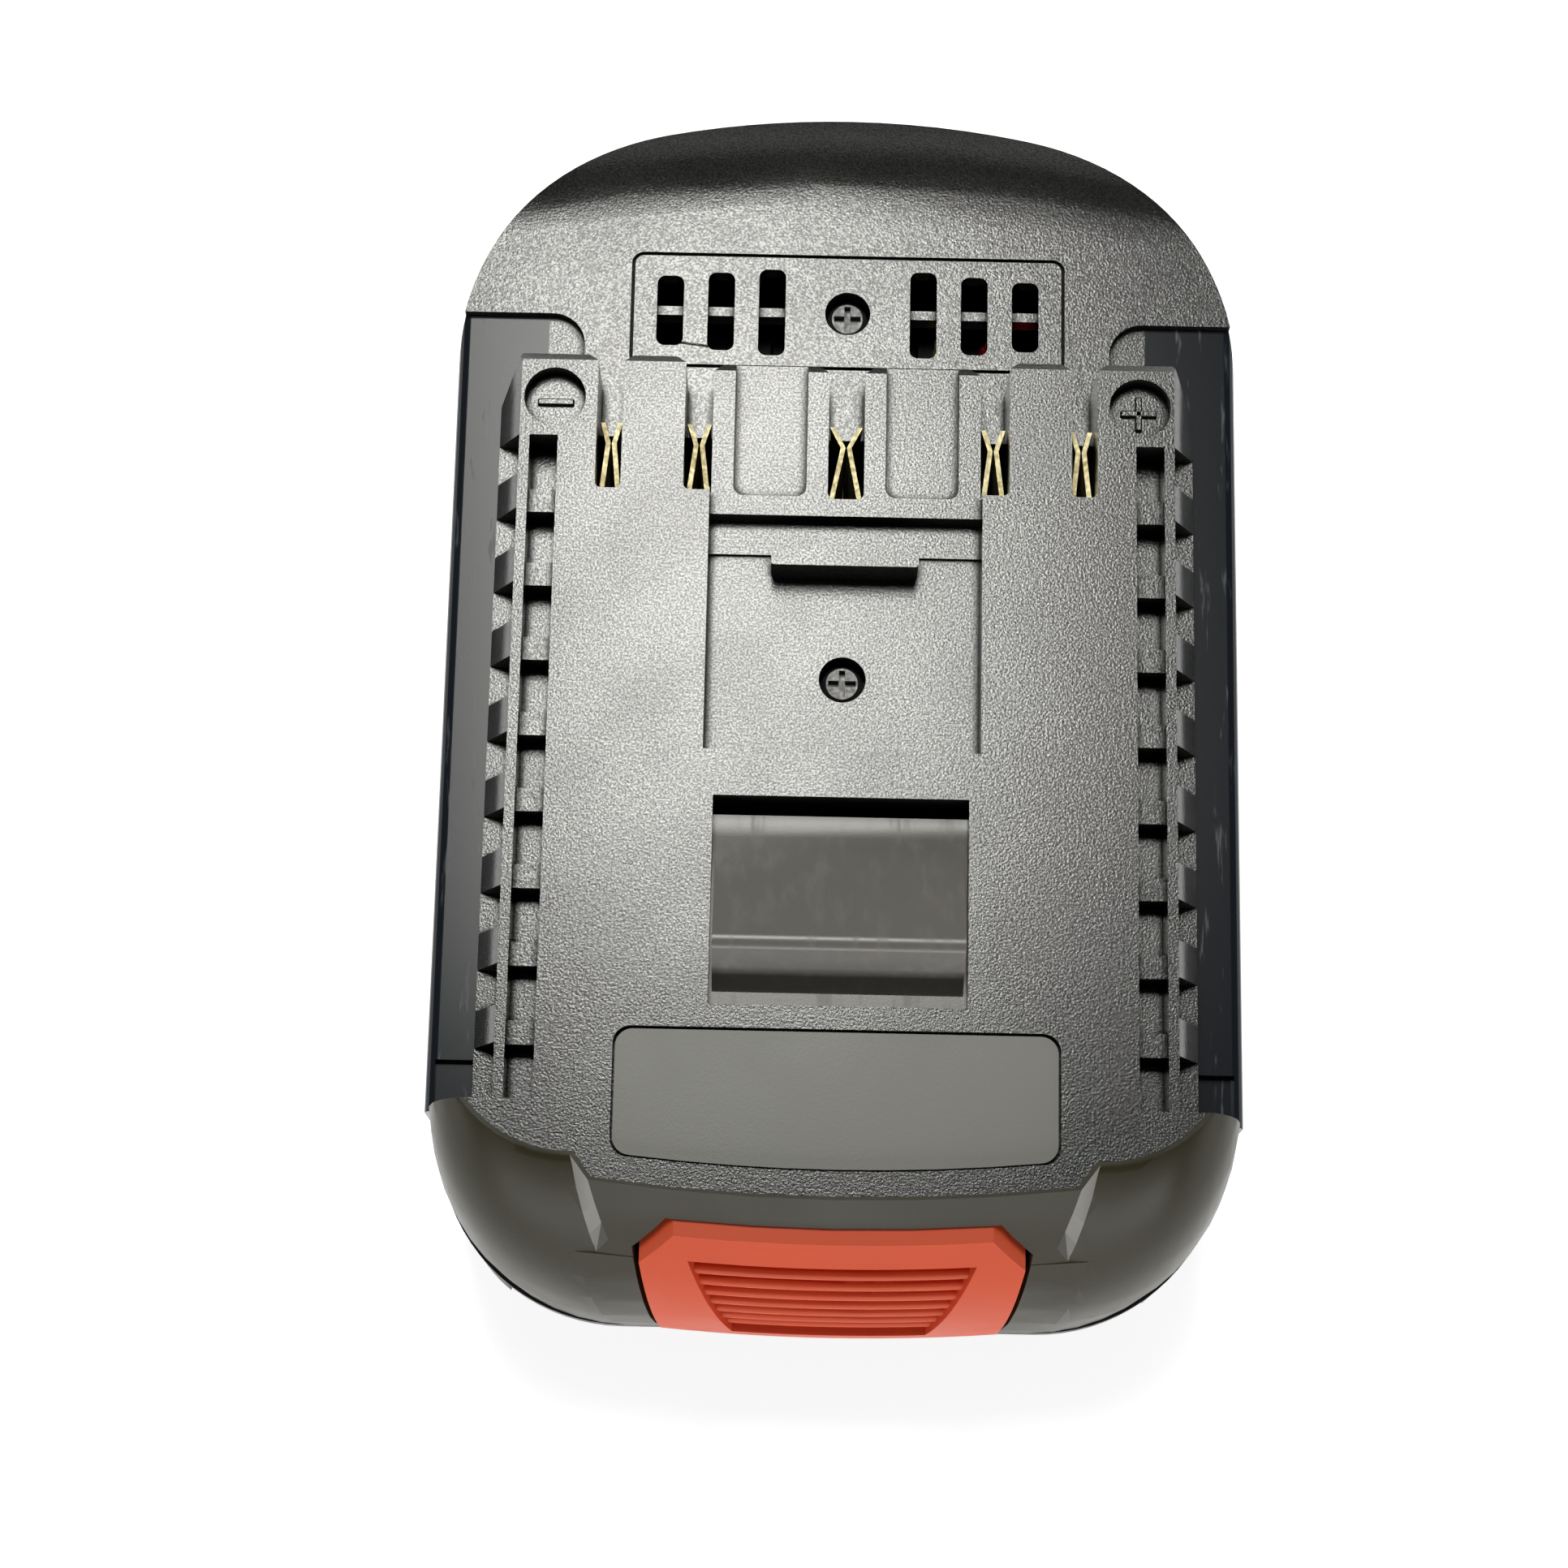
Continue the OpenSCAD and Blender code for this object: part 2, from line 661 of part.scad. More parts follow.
// Slots between the terminal fingers, open at the rear
module finger_slots() {
    for (p = slots) {
        r = p[1] / 2;
        translate([p[0], 0, hood_z]) linear_extrude(rail_h) {
            soft_rect(-r, r, slot_y, finger_y + over, slot_r);
            polygon([[-r, finger_y - mouth], [-r - mouth, finger_y + eps], [-r - mouth, finger_y + over],
                [r + mouth, finger_y + over], [r + mouth, finger_y + eps], [r, finger_y - mouth]]);
        }
        block([p[0] - r, slot_y + contact_in, contact_z - over],
            [p[0] + r, slot_y + contact_in + contact_hole, hood_z + over]);
    }
}

// Chamfer along the rear ends of the fingers and the recessed panels on the two middle ones
module finger_trim() {
    panel_r = 1;
    panel_a = 3.7;
    panel_b = 10.6;
    panel_d = 1;
    c = finger_chamfer;
    for (z = [deck_z, plate_z]) {
        x = z == deck_z ? flange_x : channel_x;
        along_x(-x, x)
            polygon([[finger_y - c, z + eps], [finger_y + eps, z - c], [finger_y + over, z + over]]);
    }
    for (a = [panel_a, -panel_b]) translate([0, 0, plate_z - panel_d]) linear_extrude(deck_z)
        soft_rect(a, a + panel_b - panel_a, slot_y + 0.2, finger_y + 2 * over, panel_r);
}

// Vent slots of the hood and the fine groove round them
module vents() {
    line = 0.35;
    corner = 1.2;
    for (s = [-1, 1], i = [0:2]) {
        l = vent_l - i * vent_taper;
        x = s * (vent_x0 + i * vent_pitch);
        translate([x, vent_y, contact_z - over]) linear_extrude(rail_h)
            soft_rect(-vent_w / 2, vent_w / 2, -l / 2, l / 2, 0.8);
    }
    translate([0, 0, hood_z - panel_groove]) linear_extrude(over) difference() {
        soft_rect(-panel_x, panel_x, panel_y, panel_y + panel_l, corner);
        soft_rect(-panel_x + line, panel_x - line, panel_y + line, panel_y + panel_l - line, corner - line);
    }
}

// Roof of the hood as a wide disc: flat inside, with a gentle roll-off round it
module hood_dome(inset = 0) {
    translate([0, rear_y - roll_l - dome_r, 0]) rotate_extrude($fn = 180) {
        square([dome_r, hood_z - inset]);
        square([dome_r + roll_r - inset, hood_z - roll_r]);
        translate([dome_r, hood_z - roll_r]) circle(roll_r - inset);
    }
}

// Outer form of the upper shell before it is hollowed
module top_form() {
    intersection() {
        translate([0, 0, base_h]) linear_extrude(deck_z) intersection() {
            body_plan();
            translate([-half_w, rail_y]) square([body_w, rear_y - rail_y + over]);
        }
        hood_dome();
    }
    along_y(rail_y, finger_y) rail_section();
    translate([0, 0, under_z]) linear_extrude(deck_t) deck_plan(rim);
}

// Trenches for the tool rails, with round inner corners at the rear
module trenches() {
    notch_l = 4.8;
    notch_d = 1.2;
    for (s = [-1, 1]) scale([s, 1, 1]) {
        translate([0, 0, trench_z]) linear_extrude(hood_step + over) difference() {
            translate([tongue_x, rail_y - over]) square([half_w, trench_y - rail_y + over]);
            difference() {
                translate([tongue_x, trench_y - trench_r]) square(trench_r);
                translate([tongue_x + trench_r, trench_y - trench_r]) circle(trench_r);
            }
        }
    }
    pair([neck_x + 2, rail_y - eps, trench_z - notch_d], [half_w - 0.9, rail_y + notch_l, trench_z + over]);
    for (s = [0, 1]) mirror([s, 0, 0]) along_y(rail_y - over, trench_y) difference() {
        translate([half_w - edge_r, trench_z - edge_r]) square(edge_r + over);
        translate([half_w - edge_r, trench_z - edge_r]) circle(edge_r);
    }
}

// Rooms inside the upper shell
module top_hollow() {
    skin_z = trench_z - floor_t;
    belly = base_h - over;
    translate([0, 0, belly]) linear_extrude(skin_z - belly) intersection() {
        body_plan(wall);
        translate([-half_w, rail_y - over]) square([body_w, trench_y - rail_y]);
    }
    intersection() {
        translate([0, 0, belly]) linear_extrude(deck_z) intersection() {
            body_plan(wall);
            translate([-half_w, trench_y - 2]) square([body_w, rear_y - trench_y + 2]);
        }
        hood_dome(floor_t);
    }
    block([-hollow_x, rail_y - eps, skin_z - over], [hollow_x, recess_y - wall, under_z]);
    pair([channel_x + wall, recess_y - wall - eps, skin_z - over], [hollow_x, plate_y - wall, under_z]);
    block([-channel_x - wall, recess_y - wall - eps, skin_z - over],
        [channel_x + wall, plate_y - wall, recess_z - floor_t]);
    block([-carrier_x - fit, carrier_y0 - fit, skin_z - over],
        [carrier_x + fit, carrier_y1 + fit, contact_z]);
}

// Screw tube hanging from the upper shell
module well_tube(y, z) {
    translate([0, y, boss_top]) cylinder(r = boss_r, h = z - boss_top);
}

// Sunk seat and hole of a housing screw
module well_cut(y, seat) {
    translate([0, y, seat]) cylinder(r = well_r, h = deck_z);
    translate([0, y, 0]) cylinder(r = clear_r, h = deck_z);
}

// Guide walls beside and behind the latch
module latch_guides() {
    low = arm_top - 4;
    rear = window_y + window_l;
    pair([foot_x + fit, window_y + 1.5, low], [foot_x + fit + 1.6, rear - 1.5, under_z + eps]);
    block([-foot_x, rear, low], [foot_x, recess_y - wall + eps, under_z + eps]);
}

module top_housing() {
    color([0.13, 0.13, 0.13]) difference() {
        union() {
            difference() {
                top_form();
                trenches_above_floor();
                top_hollow();
                rail_cells();
                flange_leads();
                finger_slots();
                block([-channel_x, plate_y - over, plate_z], [channel_x, finger_y + over, deck_z + over]);
                block([-channel_x, recess_y, recess_z], [channel_x, bar_y, deck_z + over]);
                block([-channel_x, bar_y - over, recess_z + recess_step],
                    [channel_x, plate_y, deck_z + over]);
                finger_trim();
                vents();
                for (s = [-1, 1]) translate([s * (platform_x + 0.4), finger_y - disc_in, deck_z - disc_d])
                    cylinder(r = disc_r, h = disc_d + over);
            }
            translate([0, 0, recess_z - eps]) linear_extrude(recess_d - 0.2)
                soft_rect(-bar_x, bar_x, bar_y - bar_fore - bar_t, bar_y - bar_fore, 0.3);
            well_tube(well_y, recess_z - eps);
            well_tube(rear_well_y, contact_z + eps);
            block([-panel_x, vent_y + bar_back - vent_bar / 2, contact_z - vent_bar],
                [panel_x, vent_y + bar_back + vent_bar / 2, hood_z - vent_drop]);
            latch_guides();
            rear_bosses();
        }
        for (w = wells) well_cut(w[0], w[1]);
        block([-window_x, window_y, trench_z - floor_t], [window_x, window_y + window_l, deck_z + over]);
        translate([0, 0, deck_z - label_d]) linear_extrude(over + label_d) label_plan(0);
        rear_boss_holes();
    }
}

// The trenches are cut beside the rails only, so the rails keep their feet
module trenches_above_floor() {
    difference() {
        trenches();
        along_y(rail_y, finger_y) rail_section();
    }
}

module rear_bosses() {
    intersection() {
        for (s = [-1, 1]) translate([s * rear_screw_x, rear_screw_y, base_h])
            cylinder(r = low_boss_r, h = low_boss_h);
        translate([0, 0, base_h]) linear_extrude(low_boss_h) body_plan(wall / 2);
    }
}

module rear_boss_holes() {
    for (s = [-1, 1]) translate([s * rear_screw_x, rear_screw_y, base_h - over])
        cylinder(r = shaft_r, h = low_screw_l - base_h + low_seat + over);
}

// Label recess, with a front edge that bows like the deck
module label_plan(inset) {
    r = 1.6;
    steps = 8;
    y0 = label_y - label_l;
    x = label_x - inset;
    bow = [for (i = [0:steps]) let (u = (x - r) * (2 * i / steps - 1))
        [u, y0 + inset - bow_at(label_x - r) + bow_at(u)]];
    translate([-x, y0 + inset + r]) square([2 * x, label_l - 2 * inset - 2 * r]);
    translate([-x + r, label_y - inset - r - eps]) square([2 * (x - r), r + eps]);
    polygon(concat([[-x + r, y0 + inset + r + eps]], bow, [[x - r, y0 + inset + r + eps]]));
    for (s = [-1, 1], y = [y0 + inset + r, label_y - inset - r]) translate([s * (x - r), y]) circle(r);
}

module label_plate() {
    color([0.5, 0.5, 0.48]) translate([0, 0, deck_z - label_d]) linear_extrude(label_t) label_plan(0.2);
}

// Slide ledge seen from above, with a lead-in at its front end
module ledge_plan() {
    x0 = bay_x - ledge_reach;
    y0 = -body_l / 2 + ledge_front;
    lead_in = ledge_reach / 2;
    polygon([[x0, y0 + 2 * lead_in], [x0 + lead_in, y0], [bay_x + eps, y0],
        [bay_x + eps, y0 + ledge_l], [x0, y0 + ledge_l]]);
}

// Plan of the battery bay, open at the front
module bay_plan() {
    intersection() {
        translate([-bay_x, nose_y - over]) square([2 * bay_x, body_l]);
        union() {
            translate([-bay_x, nose_y - over]) square([2 * bay_x, fillet_y - nose_y + over]);
            body_plan(bay_back);
        }
    }
}

module base_housing() {
    color([0.1, 0.1, 0.11]) difference() {
        union() {
            difference() {
                linear_extrude(base_h) body_plan();
                translate([0, 0, -over]) linear_extrude(bay_h + over) bay_plan();
            }
            for (s = [0, 1]) mirror([s, 0, 0]) translate([0, 0, ledge_z])
                linear_extrude(ledge_t) ledge_plan();
            for (w = wells) translate([0, w[0], base_h - eps])
                cylinder(r = boss_r, h = boss_top - base_h + eps);
            block([-catch_x - pocket_wall, pocket_y - pocket_wall, base_h - eps],
                [catch_x + pocket_wall, pocket_y + catch_l + pocket_wall, bay_h + catch_d + pocket_wall]);
            block([-button_low_x, baffle_y, base_h - eps],
                [button_low_x, baffle_y + baffle_t, base_h + baffle_h]);
            for (s = [-1, 1]) translate([s * spring_x, spring_y, base_h - eps])
                cylinder(d = spring_d - spring_wire - 2 * fit, h = 2);
            for (x = [-1, 1], y = [board_y + 2, board_y + board_l - 2])
                translate([x * (board_x - 2), y, base_h - eps]) cylinder(r = 1.6, h = board_z - base_h + eps);
        }
        block([-catch_x, pocket_y, bay_h - over], [catch_x, pocket_y + catch_l, bay_h + catch_d]);
        for (w = wells) translate([0, w[0], base_h]) cylinder(r = shaft_r, h = deck_z);
        pair([neck_in - fit / 2, tblock_y + neck_inset - fit / 2, bay_h - over],
            [neck_half + fit / 2, tblock_y + tblock_l - neck_inset + fit / 2, base_h + over]);
        along_x(-half_w - over, half_w + over) polygon([[nose_y - over, bay_h], [nose_y, bay_h],
            [nose_y + skirt_lean, 0], [nose_y + skirt_lean, -over], [nose_y - over, -over]]);
        low_screw_places() {
            translate([0, 0, -over]) cylinder(r = head_d / 2 + fit / 2, h = low_seat + over);
            cylinder(r = clear_r, h = base_h + over);
        }
        for (s = [-1, 1]) translate([s * block_screw_x(), tblock_y + tblock_l / 2, bay_h - over])
            cylinder(r = shaft_r, h = over + tblock_bite + 0.2);
    }
}

// Places of the screws that go in from below
module low_screw_places() {
    for (s = [-1, 1]) {
        translate([s * front_screw_x, front_screw_y, 0]) children();
        translate([s * rear_screw_x, rear_screw_y, 0]) children();
    }
}

function block_screw_x() = (block_half + neck_half) / 2;

module front_cover() {
    lean = deck_t;
    color([0.16, 0.155, 0.13]) difference() {
        union() {
            difference() {
                union() {
                    nose_loft(0, 0, rail_y, deck_z);
                    block_loft(zig_z, block_x - zig_in, deck_z, block_x);
                    block_loft(nose_z, block_x - zag_low, zig_z, block_x - zag_in);
                }
                difference() {
                    nose_loft(wall, lean, rail_y - wall, under_z);
                    block([-half_w, nose_y - over, 0], [half_w, rail_y, base_h - over]);
                }
                block([-hollow_x, rail_y - wall - over, base_h - over], [hollow_x, rail_y + over, under_z]);
                translate([0, 0, under_z]) linear_extrude(deck_t + over) deck_plan(rim);
            }
            intersection() {
                for (s = [-1, 1]) translate([s * front_screw_x, front_screw_y, base_h])
                    cylinder(r = low_boss_r, h = low_boss_h);
                nose_loft(wall / 2, 0, rail_y, under_z);
            }
        }
        along_y(nose_y - 3 * over, rail_y - wall) button_face(button_gap, fit, travel + fit);
        for (s = [-1, 1]) translate([s * front_screw_x, front_screw_y, base_h - over])
            cylinder(r = shaft_r, h = low_screw_l - base_h + low_seat + over);
    }
}

// Side view of the latch: a ramp, a round crest and a steep front
module latch_side() {
    crest_z = deck_z + crest_h - crest_r;
    crest_y = window_y + 5.6;
    up = [crest_y + crest_r * sin(ramp_a), crest_z + crest_r * cos(ramp_a)];
    down = [crest_y - crest_r * sin(catch_a), crest_z + crest_r * cos(catch_a)];
    low = flange_top - foot_t;
    heel = up.y - (latch_rear - up.x) * tan(ramp_a);
    toe = down.y - (down.x - latch_front) * tan(catch_a);
    polygon([[latch_rear, low], [latch_rear, heel], up, down, [latch_front, toe], [latch_front, low]]);
    translate([crest_y, crest_z]) circle(crest_r);
}

module latch() {
    color([0.22, 0.215, 0.2]) difference() {
        union() {
            along_x(-window_x + fit, window_x - fit) latch_side();
            block([-foot_x, latch_front - 1.2, flange_top - foot_t], [foot_x, latch_rear + 0.7, flange_top]);
            block([-arm_x, arm_front, arm_z], [arm_x, latch_front + 4, arm_top]);
            block([-arm_x, rail_y + 2, arm_z], [arm_x, latch_front + 4, flange_top - foot_t + eps]);
            block([-spring_x - spring_pad, spring_y - spring_pad, arm_z],
                [spring_x + spring_pad, spring_y + spring_pad, arm_z + arm_web]);
        }
        block([-arm_x + arm_web, arm_front + arm_web, arm_z + arm_web],
            [arm_x - arm_web, rail_y, arm_top + over]);
        block([-arm_x + arm_web, rail_y + 2 * arm_web, arm_z - over],
            [arm_x - arm_web, latch_front + 4 + over, flange_top - foot_t - arm_web]);
    }
}

// Front view of the grip: a tapering field of ridges
module grip_face(grow = 0) {
    top = button_z1 - 2.6;
    low = button_z0 + 1.6;
    wide = button_top_x - 1.3 + grow;
    slim = button_top_x - 5.3 + grow;
    polygon([[wide, top], [slim, low], [-slim, low], [-wide, top]]);
}

module release_button() {
    ridge_r = 0.62;
    outer = button_arc + button_proud;
    inner = outer - grip_d;
    a0 = asin((button_z0 + 2.6 - button_cz) / inner);
    a1 = asin((button_z1 - 3.6 - button_cz) / inner);
    front = nose_y - block_proud - button_proud - over;
    color([0.76, 0.2, 0.1]) {
        difference() {
            intersection() {
                bowed(button_span) difference() {
                    translate([button_cr, button_cz]) circle(outer);
                    translate([button_cr - button_t, button_cz]) circle(outer);
                    translate([0, 0]) square([button_cr + button_arc / 3, deck_z]);
                }
                along_y(front, rail_y) button_face();
            }
            difference() {
                along_y(front, rail_y) grip_face();
                bowed(button_span) translate([button_cr, button_cz]) circle(inner);
            }
        }
        intersection() {
            bowed(button_span) for (i = [0:ridge_n - 1]) let (a = a0 + (a1 - a0) * i / (ridge_n - 1))
                translate([button_cr + inner * cos(a), button_cz + inner * sin(a)]) circle(ridge_r, $fn = 24);
            along_y(front, arm_front) grip_face(0.2);
        }
        button_stem();
    }
}

// Stem between the back of the button and the latch arm
module button_stem() {
    stem_x = 9;
    difference() {
        block([-stem_x, nose_y - block_proud, arm_z + 1], [stem_x, arm_front, arm_top - 1.5]);
        bowed(2 * button_span) difference() {
            square([axis_y - nose_y + 10, deck_z]);
            translate([button_cr - button_t + 0.4, button_cz]) circle(button_arc + button_proud);
            square([button_cr, deck_z]);
        }
    }
}

// Helical return spring between the base and the latch arm
spring_steps = 8;
function coil(x) = [for (i = [0:spring_steps * spring_turns]) let (a = 360 * i / spring_steps)
    [x + spring_d / 2 * cos(a), spring_y + spring_d / 2 * sin(a),
        base_h + spring_wire * 0.6 + (spring_h - spring_wire * 1.2) * i / (spring_steps * spring_turns)]];
echo(least_spring_gap = min([for (i = [0:spring_steps * (spring_turns - 1)])
    norm(coil(0)[i + spring_steps] - coil(0)[i])]) - spring_wire);

module latch_spring(side) {
    color([0.7, 0.7, 0.7]) tube(coil(side * spring_x), spring_wire / 2, 6, [0, 0, 1]);
}

module contact_carrier() {
    color([0.2, 0.2, 0.22]) difference() {
        block([-carrier_x, carrier_y0, carrier_z], [carrier_x, carrier_y1, contact_z]);
        for (p = slots) let (r = p[1] / 2)
            block([p[0] - r, slot_y + contact_in, carrier_z - over],
                [p[0] + r, slot_y + contact_in + contact_hole, contact_z + over]);
    }
}

// Paired spring leaves that pinch a tool blade between them
module contact(x, w) {
    y0 = slot_y + contact_in + fit / 2;
    y1 = y0 + contact_hole - fit;
    wide = w / 2 - fit / 2;
    mid = y0 + (y1 - y0) * pinch_at;
    top = deck_z - leaf_drop;
    base_t = 1.2;
    color([0.78, 0.75, 0.66]) translate([x, 0, 0]) {
        for (s = [-1, 1], y = [y0, y1]) hull() {
            leaf_foot(s, wide - leaf_spread, y, mid, carrier_z);
            leaf_foot(s, wide, y, mid, top - eps);
        }
        block([-wide, y0, carrier_z], [wide, y1, carrier_z + base_t]);
    }
}

// Thin slice of half a leaf, from its spread end to the pinch in the middle
module leaf_foot(s, wide, y, mid, z) {
    pinch = leaf_t + 0.06;
    translate([0, 0, z]) linear_extrude(eps)
        polygon([[s * wide, y], [s * (wide - leaf_t), y], [s * (pinch - leaf_t), mid], [s * pinch, mid]]);
}

module circuit_board() {
    color([0.05, 0.2, 0.12]) difference() {
        block([-board_x, board_y, board_z], [board_x, board_y + board_l, carrier_z]);
        for (w = wells) translate([0, w[0], 0]) cylinder(r = boss_r + 0.8, h = deck_z);
    }
}

// Parts on the board: a transistor on a tab, a can capacitor and small chips
module board_parts() {
    y = board_y + tab_l - 1.5;
    z = carrier_z;
    color([0.08, 0.08, 0.08]) {
        block([-tab_x - tab_w / 2, y - tab_l / 2, z], [-tab_x + tab_w / 2, y + tab_l / 2, z + tab_h]);
        block([chip_x - chip_w / 2, y - chip_w / 2, z], [chip_x + chip_w / 2, y + chip_w / 2, z + chip_h]);
        for (s = [-1, 1]) translate([resistor_x, y + s * chip_w / 3, z + resistor_h / 2])
            cube([resistor_l, resistor_w, resistor_h], center = true);
        translate([can_x, y, z]) cylinder(r = can_r, h = can_h);
    }
}

module terminal_block() {
    color([0.12, 0.12, 0.12]) difference() {
        union() {
            block([-block_half, tblock_y, tblock_z], [block_half, tblock_y + tblock_l, bay_h]);
            pair([neck_in, tblock_y + neck_inset, bay_h - eps],
                [neck_half, tblock_y + tblock_l - neck_inset, neck_top]);
        }
        blade_cut(-blade_x, blade_z, blade_h);
        blade_cut(blade_x, blade_z, blade_h);
        blade_cut(signal_x, blade_z, blade_h / 2);
        for (s = [-1, 1]) translate([s * block_screw_x(), tblock_y + tblock_l / 2, tblock_z - over]) {
            cylinder(r = head_d / 2 + fit / 2, h = over + tblock_seat);
            cylinder(r = clear_r, h = tblock_h + 2 * over);
        }
    }
}

// Slot of a blade and of the lug that rises from it
module blade_cut(x, z, h) {
    block([x - blade_t / 2, tblock_y - over, z], [x + blade_t / 2, lug_y + lug_l, z + h]);
    block([x - blade_t / 2, lug_y, z], [x + blade_t / 2, lug_y + lug_l, neck_top + over]);
}

module blade(x, z, h) {
    color([0.8, 0.78, 0.7]) {
        block([x - blade_t / 2, tblock_y - blade_l, z], [x + blade_t / 2, lug_y + lug_l, z + h]);
        block([x - blade_t / 2, lug_y, z], [x + blade_t / 2, lug_y + lug_l, lug_z]);
    }
}

// Lead from the lug of a blade to the board, with a slight arch between them
module lead(x, d, board_at) {
    start = [x, lug_y + lug_l / 2, lug_z + d / 2];
    end = [board_at, carrier_y1 + fit, carrier_z + d / 2];
    steps = 7;
    arch = 0.6;
    path = [for (i = [0:steps]) let (t = i / steps, ease = t * t * (3 - 2 * t))
        [start.x + (end.x - start.x) * ease, start.y + (end.y - start.y) * t,
            start.z + (end.z - start.z) * ease + arch * sin(180 * t)]];
    tube(path, d / 2, 8, [0, 0, 1]);
}

// A pan head screw that points down, with its seat at z = 0
module screw(length) {
    head_r = head_d / 2;
    flat_r = cross_l / 2 + 0.2;
    color([0.62, 0.62, 0.64]) difference() {
        rotate_extrude() polygon([[0, -length], [shaft_r, -length], [shaft_r, 0], [head_r, 0],
            [head_r, head_h / 2], [flat_r, head_h], [0, head_h]]);
        for (a = [0, 90]) rotate(a)
            block([-cross_l / 2, -cross_w / 2, head_h - cross_d], [cross_l / 2, cross_w / 2, head_h + over]);
    }
}

module housing_screws() {
    for (w = wells) translate([0, w[0], w[1]]) screw(w[1] - base_h - tip_gap);
}

module base_screws() {
    low_screw_places() translate([0, 0, low_seat]) rotate([180, 0, 0]) screw(low_screw_l);
}

module block_screws() {
    for (s = [-1, 1]) translate([s * block_screw_x(), tblock_y + tblock_l / 2, tblock_z + tblock_seat])
        rotate([180, 0, 0]) screw(tblock_h - tblock_seat + tblock_bite);
}

top_housing();
base_housing();
front_cover();
label_plate();
latch();
release_button();
latch_spring(-1);  // latch_spring_left
latch_spring(1);  // latch_spring_right
contact_carrier();
contact(-power_slot_x, power_slot_w);  // negative_contact
contact(-side_slot_x, side_slot_w);  // signal_contact_left
contact(0, centre_slot_w);  // signal_contact_centre
contact(side_slot_x, side_slot_w);  // signal_contact_right
contact(power_slot_x, power_slot_w);  // positive_contact
circuit_board();
board_parts();
terminal_block();
blade(-blade_x, blade_z, blade_h);  // negative_blade
blade(signal_x, blade_z, blade_h / 2);  // signal_blade
blade(blade_x, blade_z, blade_h);  // positive_blade
color([0.1, 0.1, 0.1]) lead(-blade_x, wire_d, -lead_x);  // negative_wire
color([0.8, 0.7, 0.1]) lead(signal_x, thin_wire_d, signal_x);  // signal_wire
color([0.7, 0.1, 0.1]) lead(blade_x, wire_d, lead_x);  // positive_wire
housing_screws();
base_screws();
block_screws();
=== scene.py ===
import math

import bmesh
import bpy
from mathutils import Matrix, Vector


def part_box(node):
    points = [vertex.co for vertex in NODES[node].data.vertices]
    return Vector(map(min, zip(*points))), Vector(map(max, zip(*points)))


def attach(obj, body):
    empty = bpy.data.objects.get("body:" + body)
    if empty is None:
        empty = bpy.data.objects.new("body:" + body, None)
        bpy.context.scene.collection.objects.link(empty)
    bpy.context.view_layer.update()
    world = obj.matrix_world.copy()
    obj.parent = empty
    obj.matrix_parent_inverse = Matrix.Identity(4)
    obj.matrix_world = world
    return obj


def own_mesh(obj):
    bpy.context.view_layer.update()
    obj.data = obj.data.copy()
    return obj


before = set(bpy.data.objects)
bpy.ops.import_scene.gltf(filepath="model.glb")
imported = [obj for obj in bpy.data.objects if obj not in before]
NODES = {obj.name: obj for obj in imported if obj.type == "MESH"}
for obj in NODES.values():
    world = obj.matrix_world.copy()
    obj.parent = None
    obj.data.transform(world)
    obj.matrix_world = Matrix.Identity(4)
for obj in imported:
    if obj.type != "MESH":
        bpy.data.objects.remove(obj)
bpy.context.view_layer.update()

MM = 0.001
WHITE = (1.0, 1.0, 1.0)

# Camera of the photograph: above the front, leaning a little from straight down
CAMERA_AT = Vector((-5.23, -85.28, 341.23)) * MM
CAMERA_LEAN = math.radians(14.0)
CAMERA_ROLL = math.radians(1.2)
CAMERA_LENS = 77.04
CAMERA_SENSOR = 36.0
CAMERA_NEAR = 0.01

# Levels and places of the solids that the looks follow
LABEL_SUNK = 0.4 * MM
RAIL_PAST_CARRIER = 2.1 * MM
DECK_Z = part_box("label_plate")[1].z + LABEL_SUNK
RAIL_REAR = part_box("contact_carrier")[1].y + RAIL_PAST_CARRIER

# Polished floors of the trenches beside the rails: between two levels, outside x, ahead of y,
# with the share of the grain that is lost there
TRENCH_Z = DECK_Z - 9.0 * MM
POLISH_TOP = TRENCH_Z + 0.25 * MM
POLISH_FOOT = TRENCH_Z - 1.3 * MM
POLISH_X = 28.9 * MM
POLISH_REAR = RAIL_REAR + 6.9 * MM
POLISH_BLUR = 0.1 * MM
POLISH_LOSS = 0.95

# Painted highlight on the bevels of the front cover beside the button: inside x, above z, turned
# sideways
BEVEL_X = 24.0 * MM
BEVEL_X_BLUR = 0.2 * MM
BEVEL_Z = DECK_Z - 8.0 * MM
BEVEL_Z_BLUR = 2.0 * MM
BEVEL_TURN = (0.14, 0.3)

# Raised polarity signs in the round recesses of the rails
SIGN_RECESS = 1.8 * MM
SIGN_SUNK = 0.05 * MM
SIGN_X = 27.5 * MM
SIGN_Y = RAIL_REAR - 4.6 * MM
SIGN_Z = DECK_Z - SIGN_RECESS - SIGN_SUNK
SIGN_LENGTH = 3.5 * MM
SIGN_WIDTH = 0.75 * MM
SIGN_HEIGHT = 0.5 * MM
SIGN_TAPER = 0.8
SIGN_ROUND = 0.1 * MM

# Noise keeps mostly between these values
NOISE_LOW, NOISE_HIGH = 0.3, 0.7

# Openness of a corner that counts as closed and as open, and rays that measure it, for the
# painted shade in creases
CREASE_SHUT, CREASE_OPEN = 0.55, 0.9
CREASE_RAYS = 6

